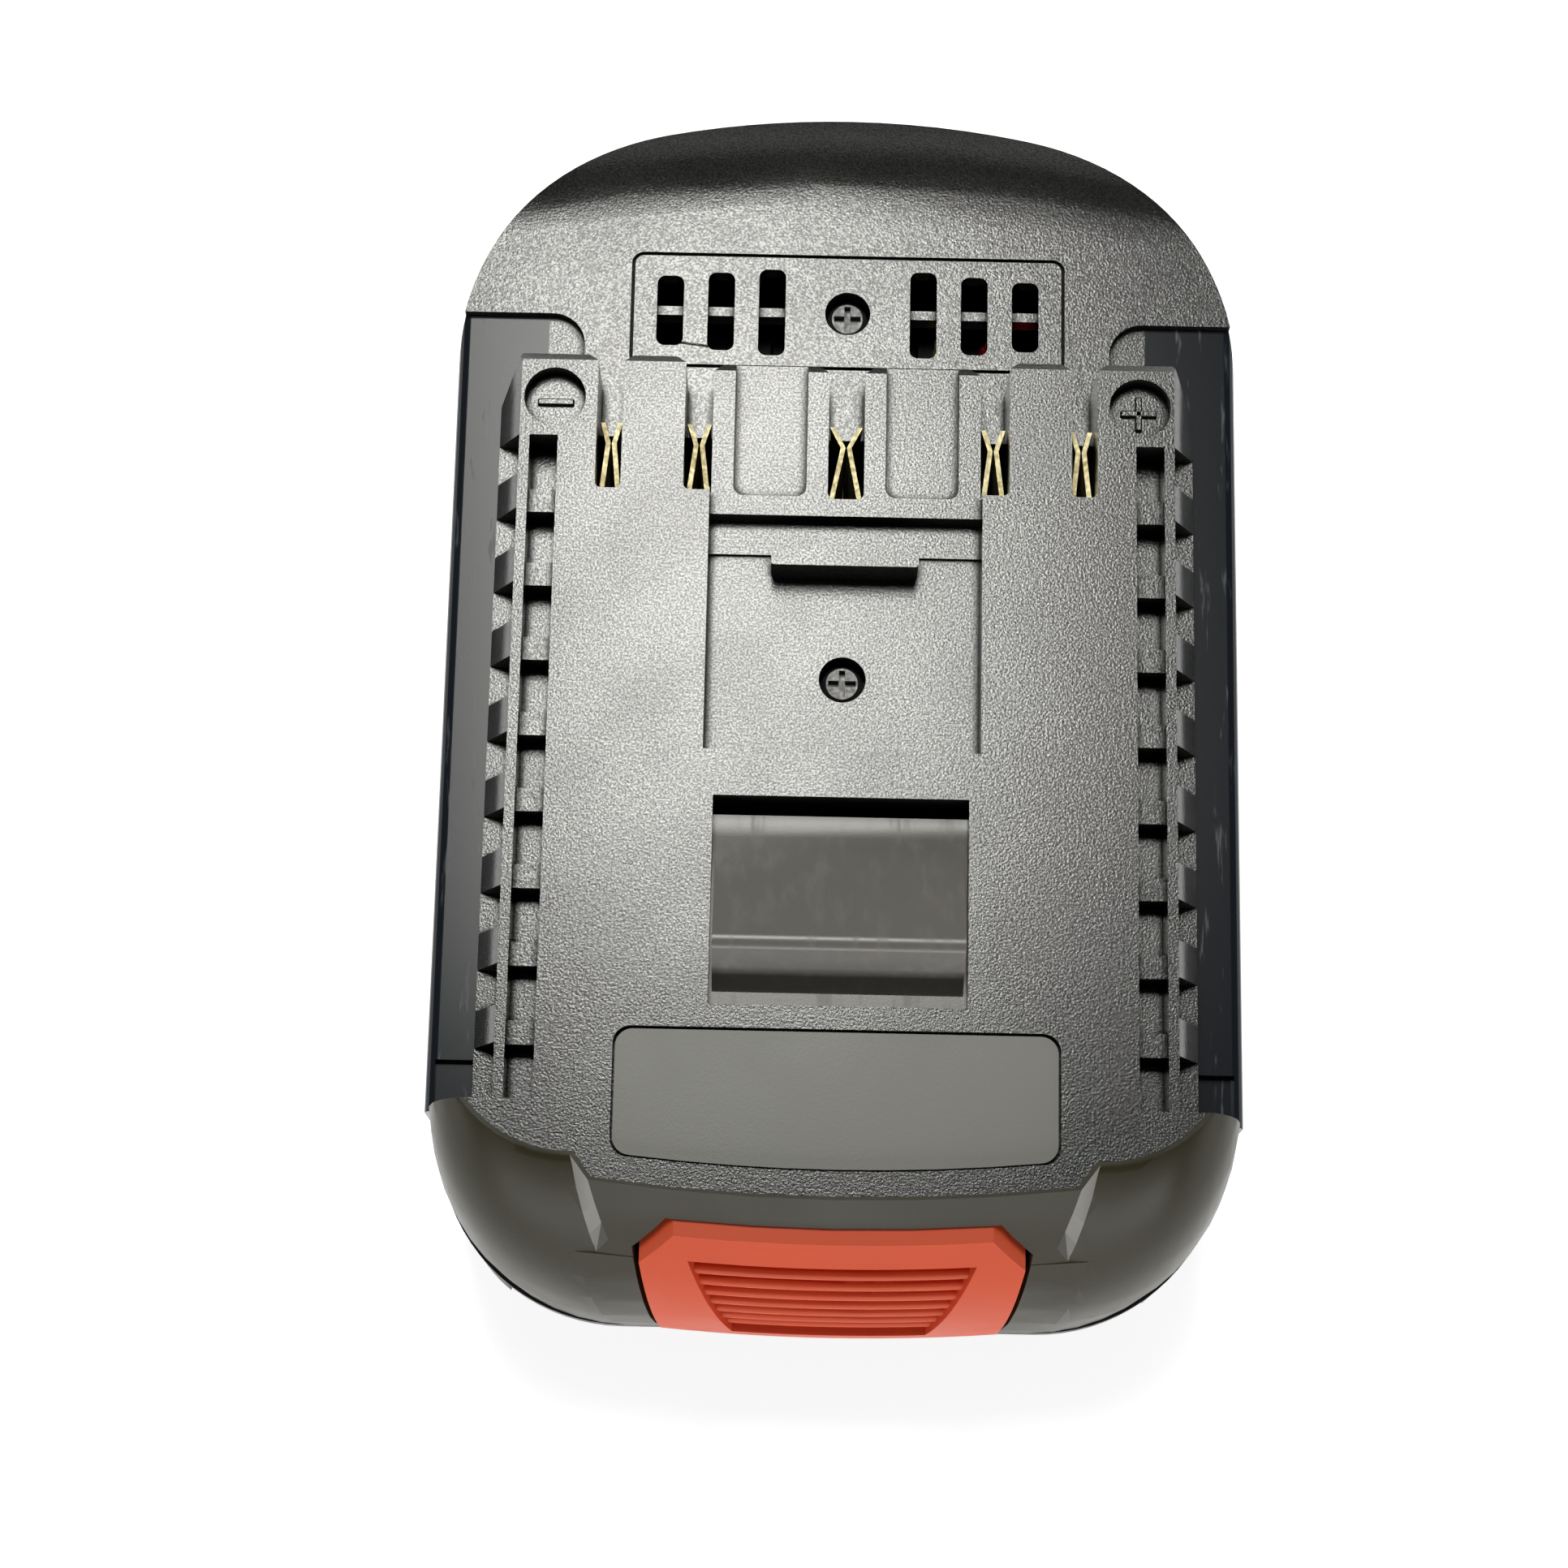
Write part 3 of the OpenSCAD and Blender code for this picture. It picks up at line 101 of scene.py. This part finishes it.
# Rounding of the moulded edges: the width of the round on each piece
EDGE_ROUND = {
    "top_housing": 0.22 * MM,
    "base_housing": 0.3 * MM,
    "front_cover": 0.2 * MM,
    "label_plate": 0.06 * MM,
    "latch": 0.18 * MM,
    "release_button": 0.16 * MM,
    "terminal_block": 0.25 * MM,
    "contact_carrier": 0.15 * MM,
}
ROUND_SEGMENTS = 2
ROUND_FROM_ANGLE = math.radians(32)
FLAT_ANGLE = math.radians(0.6)
WELD_REACH = 0.002 * MM

# Surroundings: light of the world on the part, and the floor
WORLD_GLOW = 0.06
FLOOR_RADIUS = 3.0
FLOOR_DROP = 0.2 * MM
FLOOR_COLOUR = (0.82, 0.82, 0.82)
FLOOR_LIFT = 0.75


class Shader:
    """A material's node tree, with short calls that add and join its nodes."""

    def __init__(self, name):
        self.material = bpy.data.materials.new(name)
        self.material.use_nodes = True
        self.tree = self.material.node_tree
        self.bsdf = self.tree.nodes["Principled BSDF"]
        self.place = self.tree.nodes.new("ShaderNodeTexCoord").outputs["Object"]

    def plug(self, socket, value):
        """Joins an output to the socket, or sets a constant on it."""
        if hasattr(value, "is_output"):
            self.tree.links.new(value, socket)
        else:
            socket.default_value = value

    def set(self, **sockets):
        """Plugs values into the surface's sockets, with _ for each space in a name."""
        for name, value in sockets.items():
            self.plug(self.bsdf.inputs[name.replace("_", " ")], value)

    def noise(self, size, detail=2.0, roughness=0.5, stretch=(1.0, 1.0, 1.0)):
        """Noise whose lumps are about size across, from 0 to 1."""
        node = self.tree.nodes.new("ShaderNodeTexNoise")
        node.inputs["Scale"].default_value = 1.0 / size
        node.inputs["Detail"].default_value = detail
        node.inputs["Roughness"].default_value = roughness
        mapping = self.tree.nodes.new("ShaderNodeMapping")
        mapping.inputs["Scale"].default_value = stretch
        self.tree.links.new(self.place, mapping.inputs["Vector"])
        self.tree.links.new(mapping.outputs["Vector"], node.inputs["Vector"])
        return node.outputs["Fac"]

    def math(self, operation, a, b=0.0, c=0.0):
        node = self.tree.nodes.new("ShaderNodeMath")
        node.operation = operation
        for socket, value in zip(node.inputs, (a, b, c)):
            self.plug(socket, value)
        return node.outputs["Value"]

    def product(self, first, *others):
        for other in others:
            first = self.math("MULTIPLY", first, other)
        return first

    def steps(self, value, low, high, to_low=0.0, to_high=1.0):
        """Value mapped from low..high to to_low..to_high, held at the ends."""
        node = self.tree.nodes.new("ShaderNodeMapRange")
        node.interpolation_type = "SMOOTHSTEP"
        for name, given in (("Value", value), ("From Min", low), ("From Max", high),
                            ("To Min", to_low), ("To Max", to_high)):
            self.plug(node.inputs[name], given)
        return node.outputs["Result"]

    def spread(self, noise, to_low, to_high):
        """Noise spread over to_low..to_high."""
        return self.steps(noise, NOISE_LOW, NOISE_HIGH, to_low, to_high)

    def above(self, value, level, blur):
        """0 up to that level, 1 from level + blur."""
        return self.steps(value, level, level + blur)

    def below(self, value, level, blur):
        """1 up to that level, 0 from level + blur."""
        return self.steps(value, level, level + blur, 1.0, 0.0)

    def mix(self, share, a, b):
        """Colour between a and b."""
        node = self.tree.nodes.new("ShaderNodeMix")
        node.data_type = "RGBA"
        colours = [s for s in node.inputs if s.type == "RGBA"]
        self.plug(node.inputs[0], share)
        for socket, value in zip(colours, (a, b)):
            self.plug(socket, (*value, 1.0) if isinstance(value, tuple) else value)
        return next(s for s in node.outputs if s.type == "RGBA")

    def blend(self, share, a, b):
        """Number between a and b."""
        return self.math("MULTIPLY_ADD", self.math("SUBTRACT", b, a), share, a)

    def crease(self, reach):
        """1 on open faces, down to 0 in corners that are closed in within that reach; a mask for
        painted shade.
        """
        node = self.tree.nodes.new("ShaderNodeAmbientOcclusion")
        node.only_local = True
        node.samples = CREASE_RAYS
        node.inputs["Distance"].default_value = reach
        return self.steps(node.outputs["AO"], CREASE_SHUT, CREASE_OPEN)

    def parts(self, vector):
        """X, Y and Z of a vector."""
        node = self.tree.nodes.new("ShaderNodeSeparateXYZ")
        self.tree.links.new(vector, node.inputs[0])
        return node.outputs["X"], node.outputs["Y"], node.outputs["Z"]

    def axes(self):
        """Place on the part."""
        return self.parts(self.place)

    def turn_sideways(self):
        """How far the flat faces turn to either side, from 0 to 1."""
        geometry = self.tree.nodes.new("ShaderNodeNewGeometry")
        x, _, _ = self.parts(geometry.outputs["True Normal"])
        return self.math("ABSOLUTE", x)

    def bump(self, height, depth, strength=1.0):
        node = self.tree.nodes.new("ShaderNodeBump")
        node.inputs["Distance"].default_value = depth
        self.plug(node.inputs["Strength"], strength)
        self.tree.links.new(height, node.inputs["Height"])
        self.tree.links.new(node.outputs["Normal"], self.bsdf.inputs["Normal"])


def grain(shader, size):
    """Height of a spark-eroded moulding texture."""
    fine = shader.noise(size, roughness=0.6)
    coarse = shader.noise(2.6 * size, detail=1.0)
    return shader.math("MULTIPLY_ADD", coarse, 0.3, fine)


def grained_plastic():
    """Black grained plastic, with the polished and scuffed floors of the rail trenches, and
    painted shade in its creases.
    """
    s = Shader("grained_plastic")
    x, y, z = s.axes()
    polished = s.product(
        s.below(z, POLISH_TOP, POLISH_BLUR),
        s.above(s.math("ABSOLUTE", x), POLISH_X, POLISH_BLUR),
        s.below(y, POLISH_REAR, POLISH_BLUR),
        s.above(z, POLISH_FOOT, POLISH_BLUR))
    streaks = s.noise(1.2 * MM, detail=3.0, roughness=0.7, stretch=(1.0, 0.12, 1.0))
    scuffs = s.steps(streaks, 0.6, 0.72)
    cloud = s.noise(9 * MM, detail=3.0)
    speck = s.spread(s.noise(0.2 * MM, detail=1.0), 0.0, 1.0)
    # painted shade: the gloss is taken out in creases and closed corners, where shade falls
    outside_painted_shade = s.crease(reach=1.1 * MM)
    plain = s.mix(speck, (0.008, 0.008, 0.0075), (0.02, 0.02, 0.018))
    shiny = s.mix(scuffs, (0.01, 0.013, 0.018), (0.06, 0.066, 0.074))
    s.set(Base_Color=s.mix(polished, plain, shiny))
    # gloss of the grain, dimmed in creases by the painted shade
    gloss_plain = s.product(s.steps(speck, 0.0, 1.0, 0.42, 0.78), outside_painted_shade)
    s.set(Specular_IOR_Level=s.blend(polished, gloss_plain, 0.2))
    rough_plain = s.spread(cloud, 0.19, 0.23)
    rough_shiny = s.steps(scuffs, 0.0, 1.0, 0.18, 0.32)
    s.set(Roughness=s.blend(polished, rough_plain, rough_shiny))
    grain_left = s.math("MULTIPLY_ADD", polished, -POLISH_LOSS, 1.0)
    s.bump(grain(s, 0.22 * MM), depth=0.021 * MM, strength=grain_left)
    return s.material


def base_plastic():
    """Black plastic of the lower shell, with a finer grain."""
    s = Shader("base_plastic")
    cloud = s.noise(16 * MM)
    s.set(Base_Color=s.mix(cloud, (0.012, 0.012, 0.012), (0.02, 0.02, 0.019)))
    s.set(Roughness=s.spread(cloud, 0.4, 0.5))
    s.bump(grain(s, 0.2 * MM), depth=0.014 * MM)
    return s.material


def satin_plastic():
    """Smooth olive black plastic of the front cover, with a painted highlight on the bevels
    beside the button.
    """
    s = Shader("satin_plastic")
    x, _, z = s.axes()
    cloud = s.noise(11 * MM)
    # painted highlight: the bevel faces beside the button that turn sideways are made pale,
    # standing in for the light that they catch
    pale = s.product(
        s.steps(s.turn_sideways(), *BEVEL_TURN),
        s.below(s.math("ABSOLUTE", x), BEVEL_X, BEVEL_X_BLUR),
        s.above(z, BEVEL_Z, BEVEL_Z_BLUR))
    plain = s.mix(cloud, (0.025, 0.0222, 0.0105), (0.032, 0.0285, 0.014))
    # the pale colour mixed in here is the painted highlight on the bevels
    s.set(Base_Color=s.mix(pale, plain, (0.24, 0.235, 0.215)), Specular_IOR_Level=0.22)
    s.set(Roughness=s.spread(cloud, 0.3, 0.38))
    s.bump(s.noise(0.3 * MM), depth=0.006 * MM)
    return s.material


def latch_plastic():
    """Smooth dark grey plastic of the latch, rubbed a little along its length."""
    s = Shader("latch_plastic")
    streaks = s.noise(1.5 * MM, detail=3.0, roughness=0.6, stretch=(1.0, 0.1, 1.0))
    rubs = s.steps(streaks, 0.45, 0.75)
    s.set(Base_Color=s.mix(rubs, (0.14, 0.132, 0.12), (0.16, 0.151, 0.138)))
    s.set(Roughness=s.steps(rubs, 0.0, 1.0, 0.34, 0.44), Specular_IOR_Level=0.6)
    s.bump(s.noise(0.22 * MM), depth=0.006 * MM)
    return s.material


def label_film():
    """Grey film of the label, left bare."""
    s = Shader("label")
    cloud = s.noise(9 * MM)
    s.set(Base_Color=s.mix(cloud, (0.185, 0.182, 0.168), (0.205, 0.202, 0.187)))
    s.set(Roughness=s.spread(cloud, 0.3, 0.36), Specular_IOR_Level=0.3)
    s.bump(s.noise(0.25 * MM), depth=0.005 * MM)
    return s.material


def button_plastic():
    """Red orange plastic with a slight mottle."""
    s = Shader("button_plastic")
    cloud = s.noise(7 * MM, detail=3.0)
    s.set(Base_Color=s.mix(cloud, (0.62, 0.078, 0.027), (0.68, 0.096, 0.037)))
    s.set(Roughness=s.spread(cloud, 0.36, 0.46), Specular_IOR_Level=0.16)
    s.bump(s.noise(0.3 * MM), depth=0.008 * MM)
    return s.material


def metal(name, colour, tarnish, rough, brushed=(1.0, 1.0, 1.0)):
    """Sheet or wire metal with a drawn finish and patches of tarnish."""
    s = Shader(name)
    patches = s.steps(s.noise(2.5 * MM, detail=3.0), 0.4, 0.75)
    streaks = s.noise(0.4 * MM, stretch=brushed)
    s.set(Base_Color=s.mix(patches, colour, tarnish), Metallic=1.0)
    s.set(Roughness=s.spread(streaks, rough, rough + 0.14))
    s.bump(streaks, depth=0.004 * MM)
    return s.material


def plain_plastic(name, dark, light, rough):
    """Small moulded piece or insulation with a slight mottle."""
    s = Shader(name)
    cloud = s.noise(4 * MM)
    s.set(Base_Color=s.mix(cloud, dark, light))
    s.set(Roughness=s.spread(cloud, rough, rough + 0.1))
    s.bump(s.noise(0.4 * MM), depth=0.008 * MM)
    return s.material


def circuit_board_finish():
    """Green solder mask over faint tracks."""
    s = Shader("board")
    lanes = s.noise(2.2 * MM, detail=0.0, stretch=(1.0, 0.3, 1.0))
    tracks = s.steps(lanes, 0.48, 0.52)
    s.set(Base_Color=s.mix(tracks, (0.006, 0.05, 0.024), (0.012, 0.085, 0.04)), Roughness=0.3)
    s.bump(tracks, depth=0.02 * MM)
    return s.material


STEEL = metal(
    "screw_steel", (0.2, 0.2, 0.2), (0.12, 0.116, 0.112), rough=0.5, brushed=(1.0, 1.0, 6.0))
SPRING = metal(
    "spring_steel", (0.56, 0.55, 0.53), (0.42, 0.4, 0.38), rough=0.22)
CONTACT = metal(
    "contact_metal", (0.34, 0.3, 0.18), (0.2, 0.165, 0.085), rough=0.42, brushed=(1.0, 1.0, 8.0))
INSULATOR = plain_plastic(
    "insulator", (0.02, 0.02, 0.022), (0.034, 0.034, 0.036), rough=0.45)
COMPONENT = plain_plastic(
    "component", (0.014, 0.014, 0.014), (0.026, 0.026, 0.026), rough=0.4)
BLACK_WIRE = plain_plastic(
    "black_wire", (0.012, 0.012, 0.012), (0.022, 0.022, 0.022), rough=0.34)
YELLOW_WIRE = plain_plastic(
    "yellow_wire", (0.5, 0.36, 0.02), (0.6, 0.44, 0.03), rough=0.34)
RED_WIRE = plain_plastic(
    "red_wire", (0.36, 0.012, 0.01), (0.45, 0.018, 0.014), rough=0.34)

FINISH = {
    "top_housing": grained_plastic(),
    "base_housing": base_plastic(),
    "front_cover": satin_plastic(),
    "label_plate": label_film(),
    "latch": latch_plastic(),
    "release_button": button_plastic(),
    "latch_spring_left": SPRING,
    "latch_spring_right": SPRING,
    "contact_carrier": INSULATOR,
    "negative_contact": CONTACT,
    "signal_contact_left": CONTACT,
    "signal_contact_centre": CONTACT,
    "signal_contact_right": CONTACT,
    "positive_contact": CONTACT,
    "circuit_board": circuit_board_finish(),
    "board_parts": COMPONENT,
    "terminal_block": INSULATOR,
    "negative_blade": CONTACT,
    "signal_blade": CONTACT,
    "positive_blade": CONTACT,
    "negative_wire": BLACK_WIRE,
    "signal_wire": YELLOW_WIRE,
    "positive_wire": RED_WIRE,
    "housing_screws": STEEL,
    "base_screws": STEEL,
    "block_screws": STEEL,
}


def soften_edges(node, width):
    """Rounds the sharp edges of a solid without touching its own mesh."""
    weld = node.modifiers.new("weld", "WELD")
    weld.merge_threshold = WELD_REACH
    flat = node.modifiers.new("flat_faces", "DECIMATE")
    flat.decimate_type = "DISSOLVE"
    flat.angle_limit = FLAT_ANGLE
    bevel = node.modifiers.new("edge_round", "BEVEL")
    bevel.width = width
    bevel.segments = ROUND_SEGMENTS
    bevel.limit_method = "ANGLE"
    bevel.angle_limit = ROUND_FROM_ANGLE
    bevel.use_clamp_overlap = True
    normals = node.modifiers.new("normals", "WEIGHTED_NORMAL")
    normals.keep_sharp = True


def dress_nodes():
    """Gives each solid its material and rounds the edges of the moulded ones."""
    for name, material in FINISH.items():
        node = NODES[name]
        node.data.materials.clear()
        node.data.materials.append(material)
        for face in node.data.polygons:
            face.use_smooth = True
        if name in EDGE_ROUND:
            soften_edges(node, EDGE_ROUND[name])


def press_springs():
    """Gives each latch spring its own copy of its mesh."""
    for name in ("latch_spring_left", "latch_spring_right"):
        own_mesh(NODES[name])


def add_object(name, data):
    made = bpy.data.objects.new(name, data)
    bpy.context.scene.collection.objects.link(made)
    return made


def finished_mesh(name, bm, material):
    mesh = bpy.data.meshes.new(name)
    bm.to_mesh(mesh)
    bm.free()
    mesh.materials.append(material)
    return mesh


def sign_bar(bm, centre, turn):
    """A raised moulded bar with sloping sides."""
    corners = bmesh.ops.create_cube(bm, size=1.0)["verts"]
    for corner in corners:
        x, y, z = corner.co
        taper = SIGN_TAPER if z > 0 else 1.0
        length = SIGN_LENGTH - (1 - taper) * SIGN_WIDTH
        corner.co = Vector((x * length, y * SIGN_WIDTH * taper, (z + 0.5) * SIGN_HEIGHT))
    place = Matrix.Translation(centre) @ Matrix.Rotation(turn, 4, "Z")
    bmesh.ops.transform(bm, matrix=place, verts=corners)


def polarity_sign(name, x, turns):
    """Raised minus or plus sign in its round recess."""
    bm = bmesh.new()
    for turn in turns:
        sign_bar(bm, Vector((x, SIGN_Y, SIGN_Z)), turn)
    piece = add_object(name, finished_mesh(name, bm, FINISH["top_housing"]))
    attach(piece, "housing")
    bevel = piece.modifiers.new("edge_round", "BEVEL")
    bevel.width = SIGN_ROUND
    bevel.segments = ROUND_SEGMENTS


def make_camera():
    """The camera fitted to the photograph."""
    data = bpy.data.cameras.new("camera")
    data.lens = CAMERA_LENS
    data.sensor_width = CAMERA_SENSOR
    data.clip_start = CAMERA_NEAR
    ahead = Vector((0, math.sin(CAMERA_LEAN), -math.cos(CAMERA_LEAN)))
    right = Vector((1, 0, 0))
    down = ahead.cross(right)
    turned_right = right * math.cos(CAMERA_ROLL) - down * math.sin(CAMERA_ROLL)
    turned_down = right * math.sin(CAMERA_ROLL) + down * math.cos(CAMERA_ROLL)
    turn = Matrix((turned_right, -turned_down, -ahead)).transposed().to_4x4()
    camera = add_object("camera", data)
    camera.matrix_world = Matrix.Translation(CAMERA_AT) @ turn
    bpy.context.scene.camera = camera


def area_light(name, at, towards, size, radiance, colour=WHITE):
    """A soft box whose surface shines with that radiance."""
    data = bpy.data.lights.new(name, "AREA")
    data.shape = "RECTANGLE"
    data.size, data.size_y = size
    data.energy = radiance * size[0] * size[1] * math.pi
    data.color = colour
    light = add_object(name, data)
    light.location = at
    light.rotation_euler = (towards - at).to_track_quat("-Z", "Y").to_euler()
    light.visible_camera = False


def make_lights():
    """A key from behind and above, a wide front box, and weaker boxes round the part."""
    deck = Vector((-4, 4, 40)) * MM
    front = Vector((0, -56, 34)) * MM
    middle = Vector((0, -10, 30)) * MM
    area_light("key", Vector((-25, 211, 624)) * MM, deck,
               size=(0.15, 0.26), radiance=20.5, colour=(1.0, 1.0, 0.95))
    area_light("front", Vector((0, -640, 140)) * MM, front, size=(1.0, 0.2), radiance=5.2)
    area_light("rear", Vector((0, 800, 340)) * MM, deck, size=(1.2, 0.25), radiance=0.6)
    for name, x in (("left", -650), ("right", 650)):
        area_light(name, Vector((x, -20, 50)) * MM, middle, size=(1.0, 0.13), radiance=2.4)


def make_world():
    """Surroundings that are white to the camera and dim to the part."""
    world = bpy.data.worlds.new("studio")
    bpy.context.scene.world = world
    world.use_nodes = True
    tree = world.node_tree
    background = tree.nodes["Background"]
    background.inputs["Color"].default_value = (*WHITE, 1.0)
    path = tree.nodes.new("ShaderNodeLightPath")
    level = tree.nodes.new("ShaderNodeMapRange")
    level.inputs["To Min"].default_value = WORLD_GLOW
    level.inputs["To Max"].default_value = 1.0
    tree.links.new(path.outputs["Is Camera Ray"], level.inputs["Value"])
    tree.links.new(level.outputs["Result"], background.inputs["Strength"])


def seen_rays(shader):
    """1 for rays that show the floor: from the camera, or by way of gloss or glass."""
    path = shader.tree.nodes.new("ShaderNodeLightPath")
    total = path.outputs["Is Camera Ray"]
    for name in ("Is Glossy Ray", "Is Transmission Ray"):
        total = shader.math("MAXIMUM", total, path.outputs[name])
    return total


def make_floor():
    """A pale floor that keeps the shadow and is lifted towards white where it is seen."""
    s = Shader("floor")
    s.set(Base_Color=(*FLOOR_COLOUR, 1.0), Roughness=0.9, Specular_IOR_Level=0.1)
    s.set(Emission_Color=(*WHITE, 1.0))
    s.set(Emission_Strength=s.math("MULTIPLY", seen_rays(s), FLOOR_LIFT))
    bm = bmesh.new()
    bmesh.ops.create_circle(bm, cap_ends=True, segments=64, radius=FLOOR_RADIUS)
    floor = add_object("floor", finished_mesh("floor", bm, s.material))
    floor.location.z = -FLOOR_DROP


dress_nodes()
press_springs()
polarity_sign("minus_sign", -SIGN_X, (0.0,))
polarity_sign("plus_sign", SIGN_X, (0.0, math.pi / 2))
make_world()
make_floor()
make_lights()
make_camera()
bpy.context.scene.view_settings.view_transform = "Standard"
